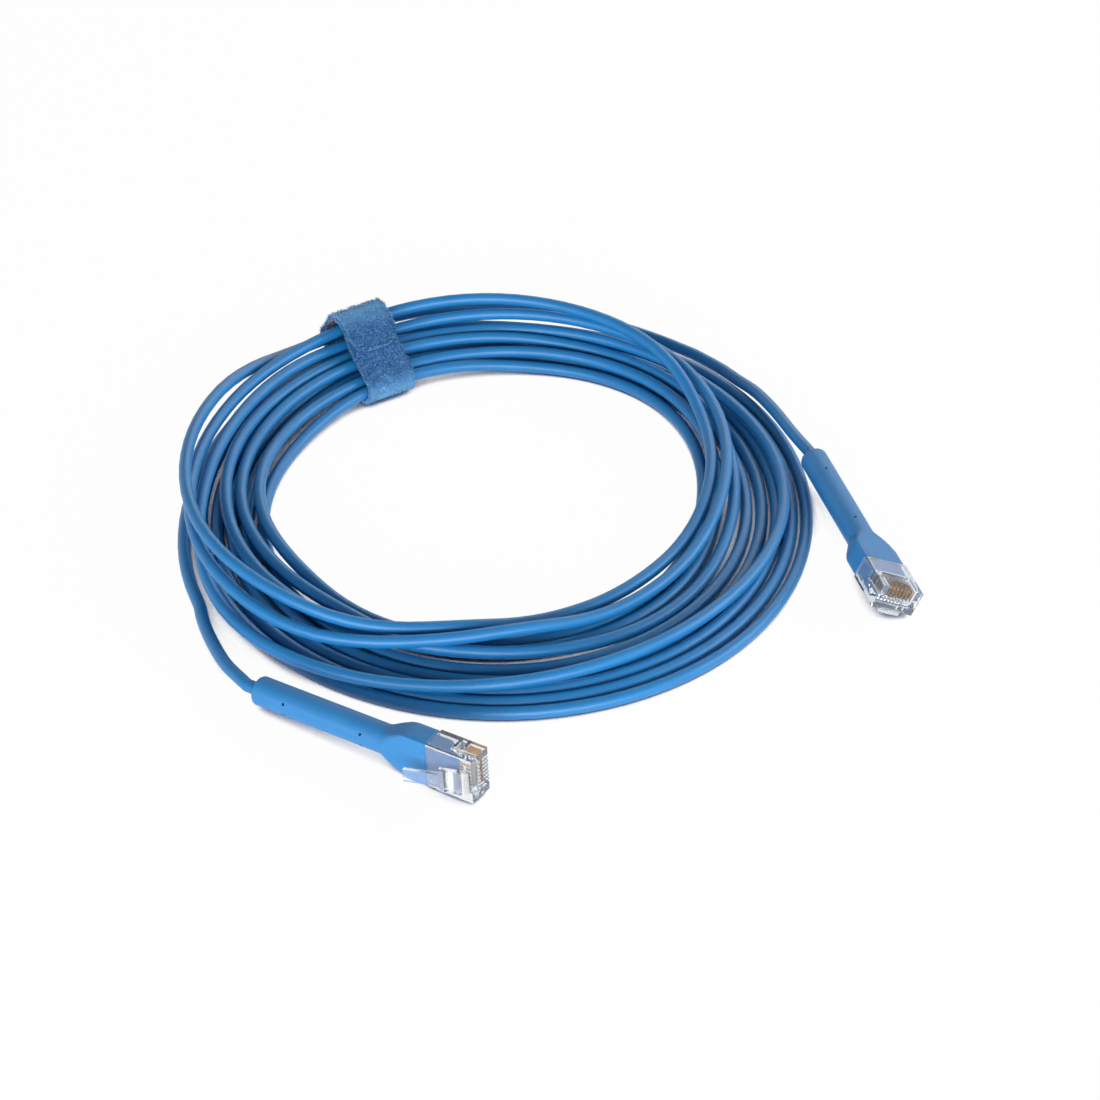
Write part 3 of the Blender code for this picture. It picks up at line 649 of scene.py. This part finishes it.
def boot():
    """Slim moulded boot, pulled ring by ring from the cord's hole to the tongue in the plug."""
    half_w, half_t = PLUG_W / 2, PLUG_T / 2 - 0.05
    hole = BOOT_HOLE
    bpy.ops.object.select_all(action='DESELECT')
    bpy.ops.mesh.primitive_circle_add(vertices=64, radius=hole, fill_type='NGON',
                                      location=(BOOT_END + 4, 0, 0), rotation=(0, math.pi / 2, 0))
    obj = bpy.context.object
    bpy.ops.object.transform_apply(location=True, rotation=True, scale=True)
    bpy.ops.object.mode_set(mode='EDIT')
    bpy.ops.mesh.select_all(action='SELECT')
    rear = 2.75                          # its flat rear face, inside the rounded edge
    rings = [(BOOT_END + 0.15, rounded(hole, hole, ROUND)),
             (BOOT_END, rounded(hole + 0.15, hole + 0.15, ROUND)),
             (BOOT_END, rounded(rear, rear, ROUND))]
    for k in range(1, 6):                # rounded rear edge
        a = math.pi / 2 * k / 5
        r = rear + BOOT_EDGE * math.sin(a)
        rings.append((BOOT_END + BOOT_EDGE * (1 - math.cos(a)), rounded(r, r, ROUND)))
    steps = 16
    for k in range(steps + 1):
        u = k / steps
        blend = u * u * (3 - 2 * u)
        rings.append((FLARE_BACK + (FLARE_FRONT - FLARE_BACK) * u,
                      rounded(BOOT_R + (half_w - BOOT_R) * blend, BOOT_R + (half_t - BOOT_R) * blend,
                              ROUND + (BOXY - ROUND) * blend)))
    rings.append((BOOT_FRONT - 0.15, rounded(half_w, half_t, BOXY)))
    rings.append((BOOT_FRONT, rounded(half_w - 0.15, half_t - 0.15, BOXY)))
    tongue_y = half_w - WALL_SIDE - TONGUE_GAP
    tongue_z = PLUG_T / 2 - WALL_FACE - TONGUE_GAP
    rings.append((BOOT_FRONT, rounded(tongue_y, tongue_z, TONGUE_BOXY)))
    tip = -PLUG_L + CAVITY_L - 0.3
    rings.append((tip - 1.1, rounded(tongue_y, tongue_z, TONGUE_BOXY)))
    rings.append((tip - 0.1, rounded(tongue_y - 1.1, tongue_z - 0.45, TONGUE_BOXY)))
    rings.append((tip, rounded(tongue_y - 1.3, tongue_z - 0.6, TONGUE_BOXY)))
    for x, section in rings:
        pull_ring(obj, x, section)
    bpy.ops.mesh.select_all(action='SELECT')
    bpy.ops.mesh.normals_make_consistent(inside=False)
    bpy.ops.object.mode_set(mode='OBJECT')
    combine(obj, wedge("ramp", tip - 1.2, TONGUE_TIP, tongue_y, -tongue_z, -1.05), 'UNION')
    for x in DIMPLES_X:                  # moulding-pin dimples on both faces
        for face in (90, -90):
            for lean in (-DIMPLE_LEAN, DIMPLE_LEAN):
                a = math.radians(face + lean)
                out = Vector((0, math.cos(a), math.sin(a)))
                pin = rod("pin", Vector((x, 0, 0)) + out * (BOOT_R - 0.2), DIMPLE_R, 1.6, out, 24)
                combine(obj, pin, 'DIFFERENCE')
    return smooth(obj, 40)


# ==== strap =========================================================================
def hull(points):
    """Convex hull, counter-clockwise."""
    pts = sorted({(round(float(a), 3), round(float(b), 3)) for a, b in points})

    def half(seq):
        out = []
        for p in seq:
            while len(out) > 1:
                (ax, ay), (bx, by) = out[-2], out[-1]
                if (bx - ax) * (p[1] - ay) - (by - ay) * (p[0] - ax) > 0:
                    break
                out.pop()
            out.append(p)
        return out[:-1]
    return half(pts) + half(pts[::-1])


def strap_frame():
    cx, cy, ax, ay = OVAL
    a = math.radians(TIE_DEG)
    n = math.radians(TIE_NORMAL_DEG)
    centre = np.array((cx + ax * math.cos(a), cy + ay * math.sin(a))) + CENTRE
    outward = np.array((math.cos(n), math.sin(n)))
    along = np.array((outward[1], -outward[0]))
    return centre, outward, along


def strap_shift(outwards, height):
    """How far the strap stands along the bundle: in front it was wound on askew."""
    front = np.clip((TIE_LEAN_FROM[0] - outwards) / TIE_LEAN_FROM[1], 0, 1)
    return -TIE_LEAN * (1 - height / TIE_HIGH) * front * front * (3 - 2 * front) - TIE_SHIFT


def strap_line(path):
    """Side view of the strap: points (outwards, height), normals, and run along it, in mm.

    It starts on top, goes down the front of the bundle, under it and up the back, and
    laps over its own start.
    """
    centre, outward, along = strap_frame()
    points = path / MM
    d = points[:, :2] - centre
    askew = np.abs(d @ along - strap_shift(d @ outward, points[:, 2]))
    near = (askew < TIE_WIDTH / 2 + 1) & (np.abs(d @ outward) < 30)
    ring = hull(np.column_stack([d[near] @ outward, points[near, 2]]))
    walk = []
    count = len(ring)
    for k in range(count):
        p, q, r = (Vector(ring[(k + j) % count]) for j in (-1, 0, 1))
        before, after = (q - p).normalized(), (r - q).normalized()
        cross = max(0.0, before.x * after.y - before.y * after.x)
        swing = math.atan2(cross, before.dot(after))
        steps = max(1, math.ceil(math.degrees(swing) / 7))
        first = math.atan2(before.y, before.x) - math.pi / 2
        for s in range(steps + 1):
            a = first + swing * s / steps
            walk.append((q.copy(), Vector((math.cos(a), math.sin(a)))))
        pieces = int((r - q).length // 0.7)
        for s in range(1, pieces + 1):
            walk.append((q.lerp(r, s / (pieces + 1)), walk[-1][1].copy()))
    top = [k for k, (p, n) in enumerate(walk) if n.y > 0.7]
    first = min(top, key=lambda k: abs(walk[k][0].x - LAP_FROM))
    last = min(top, key=lambda k: abs(walk[k][0].x - LAP_TO))
    order = [(first + k) % len(walk) for k in range(len(walk))]
    laps = order + order[:(last - first) % len(walk) + 1]
    run = [0.0]
    for i, j in zip(laps, laps[1:]):
        a, b = walk[i], walk[j]
        run.append(run[-1] + ((b[0] + b[1] * 2) - (a[0] + a[1] * 2)).length)
    lap_at = run[len(order)]
    line, normals = [], []
    for i, s in zip(laps, run):
        u = min(1.0, max(0.0, (s - (lap_at - LAP_RISE[0])) / LAP_RISE[1]))
        step = (TIE_THICK + TIE_GAP) * u * u * (3 - 2 * u)
        p, n = walk[i]
        line.append(tuple(p + n * (CORD_D / 2 + TIE_GAP + step)))
        normals.append(tuple(n))
    line, normals = np.array(line), np.array(normals)
    run = np.concatenate([[0], np.cumsum(np.linalg.norm(np.diff(line, axis=0), axis=1))])
    keep = np.concatenate([[True], np.diff(run) > 1e-6])
    return line[keep], normals[keep], run[keep]


def strap_surface(path):
    """Grid of points and normals on the strap's outer face, in mm: rows along, columns across."""
    line, normals, run = strap_line(path)
    centre, outward, along = strap_frame()
    rows = int(run[-1] / 0.6)
    across = np.linspace(-1, 1, 15)
    grid, facing = [], []
    for i in range(rows + 1):
        s0 = run[-1] * i / rows
        row, face = [], []
        for v in across:
            corner = max(0.0, abs(v) * TIE_WIDTH / 2 - (TIE_WIDTH / 2 - FLAP_RADIUS))
            short = FLAP_RADIUS - math.sqrt(FLAP_RADIUS ** 2 - corner ** 2)
            near_end = min(1.0, max(0.0, 1 - (run[-1] - s0) / FLAP_REACH))
            s = s0 - short * near_end
            p = [np.interp(s, run, line[:, k]) for k in (0, 1)]
            n = np.array([np.interp(s, run, normals[:, k]) for k in (0, 1)])
            n /= np.linalg.norm(n)
            # woven tape isn't quite even: its face and its edges wander by a tenth of a millimetre
            wave = 0.12 * math.sin(s * 0.9 + 2 * v) + 0.1 * math.sin(s * 2.3 - v)
            sideways = v * TIE_WIDTH / 2 + 0.12 * math.sin(s * 1.7) * abs(v) + strap_shift(*p)
            xy = centre + along * sideways + outward * p[0]
            height = TIE_THICK + 0.3 * wave * (1 - abs(v) ** 4)
            out = np.array([outward[0] * n[0], outward[1] * n[0], n[1]])
            row.append(np.array([xy[0], xy[1], p[1]]) + out * height)
            face.append(out)
        grid.append(row)
        facing.append(face)
    return np.array(grid), np.array(facing)


def grid_object(name, points):
    """Sheet of quads over a grid of points."""
    rows, columns = points.shape[:2]
    mesh = bpy.data.meshes.new(name)
    faces = [(i * columns + j, (i + 1) * columns + j, (i + 1) * columns + j + 1, i * columns + j + 1)
             for i in range(rows - 1) for j in range(columns - 1)]
    mesh.from_pydata([tuple(p) for p in points.reshape(-1, 3)], [], faces)
    obj = bpy.data.objects.new(name, mesh)
    bpy.context.scene.collection.objects.link(obj)
    return obj


def strap(path):
    grid, facing = strap_surface(path)
    middle = grid - facing * TIE_THICK / 2
    spine = middle[:, middle.shape[1] // 2]
    length = float(np.linalg.norm(np.diff(spine, axis=0), axis=1).sum())
    obj = grid_object("strap", middle)
    apply_modifier(obj, 'SOLIDIFY', thickness=TIE_THICK, offset=0)
    use_only(obj)
    bpy.ops.object.mode_set(mode='EDIT')
    bpy.ops.mesh.select_all(action='SELECT')
    bpy.ops.mesh.normals_make_consistent(inside=False)
    bpy.ops.object.mode_set(mode='OBJECT')
    round_edges(obj, 0.3, 2, angle=50)
    return smooth(obj, 60), grid, facing, length


def hook_side(obj, grid, facing, mat):
    """Give the strap's inner face the hook tape's finish."""
    obj.data.materials.append(mat)
    tree = KDTree(grid.shape[0] * grid.shape[1])
    for k, place in enumerate(grid.reshape(-1, 3)):
        tree.insert(place * MM, k)
    tree.balance()
    outwards = facing.reshape(-1, 3)
    for face in obj.data.polygons:
        if face.normal.dot(Vector(outwards[tree.find(face.center)[1]])) < -0.5:
            face.material_index = 1


def fibre(bm, foot, up, way, height, width, radius):
    """One arched fibre: a three-sided tube from foot to foot."""
    side = way.cross(up).normalized()
    rings = []
    for k in range(4):
        a = math.pi * k / 3
        centre = foot + way * (-math.cos(a) * width / 2) + up * (math.sin(a) * height - 0.1)
        out = (up * math.sin(a) - way * math.cos(a)).normalized()
        ring = []
        for j in range(3):
            b = 2 * math.pi * j / 3
            ring.append(bm.verts.new(centre + (out * math.cos(b) + side * math.sin(b)) * radius))
        rings.append(ring)
    for low, high in zip(rings, rings[1:]):
        for j in range(3):
            bm.faces.new((low[j], low[(j + 1) % 3], high[(j + 1) % 3], high[j]))
    bm.faces.new(rings[0])
    bm.faces.new(rings[-1])


def pile_field(name, grid, facing):
    """Arched fibres standing on a grid of points, with a share of them along its edges and end."""
    rng = random.Random(7)
    bm = bmesh.new()
    rows, columns = grid.shape[:2]
    last_row, last_column = rows - 1.001, columns - 1.001
    for _ in range(FIBRES):
        i = rng.uniform(0, last_row)
        j = rng.uniform(0, last_column)
        if rng.random() < FIBRES_AT_EDGE:
            j = rng.choice((0.0, last_column))
        elif rng.random() < FIBRES_AT_EDGE / 3:
            i = last_row
        a, b = int(i), int(j)
        u, v = i - a, j - b
        foot = Vector(grid[a, b] * (1 - u) * (1 - v) + grid[a + 1, b] * u * (1 - v)
                      + grid[a, b + 1] * (1 - u) * v + grid[a + 1, b + 1] * u * v)
        up = Vector(facing[a, b])
        spin = Vector((rng.gauss(0, 1), rng.gauss(0, 1), rng.gauss(0, 1)))
        way = (spin - up * spin.dot(up)).normalized()
        lean = (up + way.cross(up) * rng.uniform(-0.7, 0.7)).normalized()
        fibre(bm, foot, lean, way, rng.uniform(*FIBRE_HEIGHT), rng.uniform(*FIBRE_SPAN), FIBRE_R)
    bmesh.ops.recalc_face_normals(bm, faces=bm.faces)
    mesh = bpy.data.meshes.new(name)
    bm.to_mesh(mesh)
    bm.free()
    mesh.shade_smooth()
    obj = bpy.data.objects.new(name, mesh)
    bpy.context.scene.collection.objects.link(obj)
    return obj


# ==== stage =========================================================================
def camera():
    data = bpy.data.cameras.new("camera")
    data.lens = LENS
    data.sensor_width = 36
    data.clip_start = 0.01
    obj = bpy.data.objects.new("camera", data)
    bpy.context.scene.collection.objects.link(obj)
    height = math.radians(VIEW_HEIGHT)
    obj.location = (CENTRE[0] * MM, (CENTRE[1] - VIEW_DISTANCE * math.cos(height)) * MM,
                    VIEW_DISTANCE * math.sin(height) * MM)
    obj.rotation_euler = (math.pi / 2 - height, 0, 0)
    bpy.context.scene.camera = obj


def lamp(name, place, aim, wide, high, power):
    data = bpy.data.lights.new(name, 'AREA')
    data.shape = 'RECTANGLE'
    data.size = wide
    data.size_y = high
    data.energy = power
    obj = bpy.data.objects.new(name, data)
    bpy.context.scene.collection.objects.link(obj)
    obj.location = place
    obj.rotation_euler = (Vector(aim) - Vector(place)).to_track_quat('-Z', 'Y').to_euler()


def seen_directly(tree, second):
    """1 for rays from the eye and for a second kind of ray."""
    ray = node(tree, "ShaderNodeLightPath")
    return node(tree, "ShaderNodeMath", {0: ray.outputs["Is Camera Ray"], 1: ray.outputs[second]},
                operation='MAXIMUM').outputs[0]


def studio():
    scene = bpy.context.scene
    scene.view_settings.view_transform = 'Standard'
    world = bpy.data.worlds.new("studio")
    scene.world = world
    world.use_nodes = True
    tree = world.node_tree
    tree.nodes.clear()
    # white round the horizon, dim overhead; the eye, and light through clear plastic, find plain white
    around = node(tree, "ShaderNodeTexCoord").outputs["Generated"]
    way = node(tree, "ShaderNodeSeparateXYZ", {"Vector": around})
    sky = node(tree, "ShaderNodeMapRange", {
        "Value": way.outputs["Z"], "From Min": 0.05, "From Max": 0.6, "To Min": 1.0, "To Max": 0.2})
    strength = node(tree, "ShaderNodeMix", {"Factor": seen_directly(tree, "Is Transmission Ray"),
                                            "A": sky.outputs[0]})
    strength.inputs["B"].default_value = 1.0
    back = node(tree, "ShaderNodeBackground", {"Color": (1, 1, 1, 1), "Strength": strength.outputs[0]})
    node(tree, "ShaderNodeOutputWorld", {"Surface": back.outputs[0]})
    for name, setting in LAMPS.items():
        lamp(name, *setting)
    bpy.ops.object.select_all(action='DESELECT')
    bpy.ops.mesh.primitive_plane_add(size=6, location=(0, 0, -0.0002))
    floor = bpy.context.object
    floor.name = "floor"
    mat, tree = new_material("white_sweep")
    # open floor glows white for the eye and in gloss, but not deep between two strands, where
    # only light off the blue jackets reaches it; through clear plastic it is white throughout
    open_sky = node(tree, "ShaderNodeAmbientOcclusion", {"Distance": 0.008}, samples=8)
    lit = node(tree, "ShaderNodeMapRange", {"Value": open_sky.outputs["AO"], "From Min": 0.14,
                                            "From Max": 0.4}, interpolation_type='SMOOTHSTEP')
    # painted shade: a half-covered spot is painted more blue than white, in the floor's paint and in
    # its glow
    white = node(tree, "ShaderNodeMath", {0: lit.outputs[0], 1: 1.6}, operation='POWER')
    tint = node(tree, "ShaderNodeMix", {"Factor": white.outputs[0], "A": linear("16407A"),
                                        "B": linear("F4F4F4")}, data_type='RGBA')
    paint = node(tree, "ShaderNodeBsdfDiffuse", {"Color": tint.outputs["Result"]})
    bright = node(tree, "ShaderNodeMix", {"Factor": white.outputs[0], "A": linear("2A68B0"),
                                          "B": (1, 1, 1, 1)}, data_type='RGBA')
    glow = node(tree, "ShaderNodeEmission", {"Color": bright.outputs["Result"], "Strength": 1.0})
    # 3 parts in 100 stay lamplit, and keep the object's shadow out in the open too
    part = node(tree, "ShaderNodeMath", {0: lit.outputs[0], 1: 0.97}, operation='MULTIPLY')
    eye = node(tree, "ShaderNodeMath", {0: seen_directly(tree, "Is Glossy Ray"), 1: part.outputs[0]},
               operation='MULTIPLY')
    ray = node(tree, "ShaderNodeLightPath")
    share = node(tree, "ShaderNodeMath", {0: eye.outputs[0], 1: ray.outputs["Is Transmission Ray"]},
                 operation='MAXIMUM')
    mix = node(tree, "ShaderNodeMixShader", {
        0: share.outputs[0], 1: paint.outputs[0], 2: glow.outputs[0]})
    close(tree, mix)
    floor.data.materials.append(mat)


# ==== the cable =====================================================================
def cord(path, mat):
    """The whole jacketed cord as one round tube."""
    curve = bpy.data.curves.new("cord", 'CURVE')
    curve.dimensions = '3D'
    curve.bevel_depth = CORD_D / 2 * MM
    curve.bevel_resolution = CORD_SIDES // 2 - 2
    curve.use_fill_caps = True
    spline = curve.splines.new('POLY')
    spline.points.add(len(path) - 1)
    for point, place in zip(spline.points, path):
        point.co = (*place, 1)
    obj = bpy.data.objects.new("cord", curve)
    bpy.context.scene.collection.objects.link(obj)
    use_only(obj)
    bpy.ops.object.convert(target='MESH')
    obj = bpy.context.object
    obj.data.materials.clear()
    obj.data.materials.append(mat)
    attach(obj, ROOT)
    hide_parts("pigtail_a", "coil", "pigtail_b")
    return obj


def main():
    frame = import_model()
    camera()
    path = whole_path()
    nodes = frame["nodes"]
    clear = clear_polycarbonate()
    frosted = frosted_polycarbonate()
    gold = contact_gold()
    boot_mat = boot_pvc()
    tongue_painted_lit_mat = tongue_pvc_painted_lit()
    wires = [wire_insulation(f"polyethylene_wire_{k + 1}", c) for k, c in enumerate(WIRE_COLOURS)]

    the_cord = cord(path, jacket_pvc())
    shapes = {"plug_housing": housing(), "boot": boot(), "latch": latch()}
    for tag, pose in PLUGS.items():
        place = plug_place(tag)
        to_plug = place.inverted()
        last = tag == "b"
        body_shape, boot_shape, latch_shape = (
            obj if last else copy_of(obj, key + "_" + tag) for key, obj in shapes.items())
        shell = settle(body_shape, f"clear_housing_{tag}", place, clear, ROOT, "clear_plastic",
                       f"plug_housing_{tag}")
        sleeve = settle(boot_shape, f"moulded_boot_{tag}", place, boot_mat, ROOT, "boot_plastic",
                        f"boot_{tag}")
        # the tongue's faces get the painted-lit copy of the boot's PVC
        sleeve.data.materials.append(tongue_painted_lit_mat)
        for face in sleeve.data.polygons:
            if (to_plug @ face.center).x > (BOOT_FRONT + 0.01) * MM:
                face.material_index = 1
        swing = Matrix.Translation(PIVOT * MM) @ Matrix.Rotation(-math.radians(pose[-1]), 4, 'Y')
        lever = settle(latch_shape, f"latch_lever_{tag}", place @ swing, clear, f"latch_{tag}_lever",
                       "clear_plastic", f"latch_{tag}")
        matt_round_hinge(shell, to_plug, frosted)
        matt_round_hinge(lever, to_plug, frosted)
        for k in range(CONTACTS):
            for name, mat in ((f"contact_{tag}_{k + 1}", gold), (f"conductor_{tag}_{k + 1}", wires[k])):
                nodes[name].data.materials.clear()
                nodes[name].data.materials.append(mat)
        bar = nodes[f"crimp_bar_{tag}"]
        bar.data.materials.clear()
        bar.data.materials.append(clear)

    band, grid, facing, length = strap(path)
    tie = settle(band, "tie", None, loop_fabric(), ROOT, "strap_fabric", "tie_strap")
    hook_side(tie, grid, facing, hook_nylon())
    loops = pile_field("pile", grid, facing)
    pile = settle(loops, "tie_pile", None, pile_fibre(), ROOT, "strap_fabric")

    studio()


main()
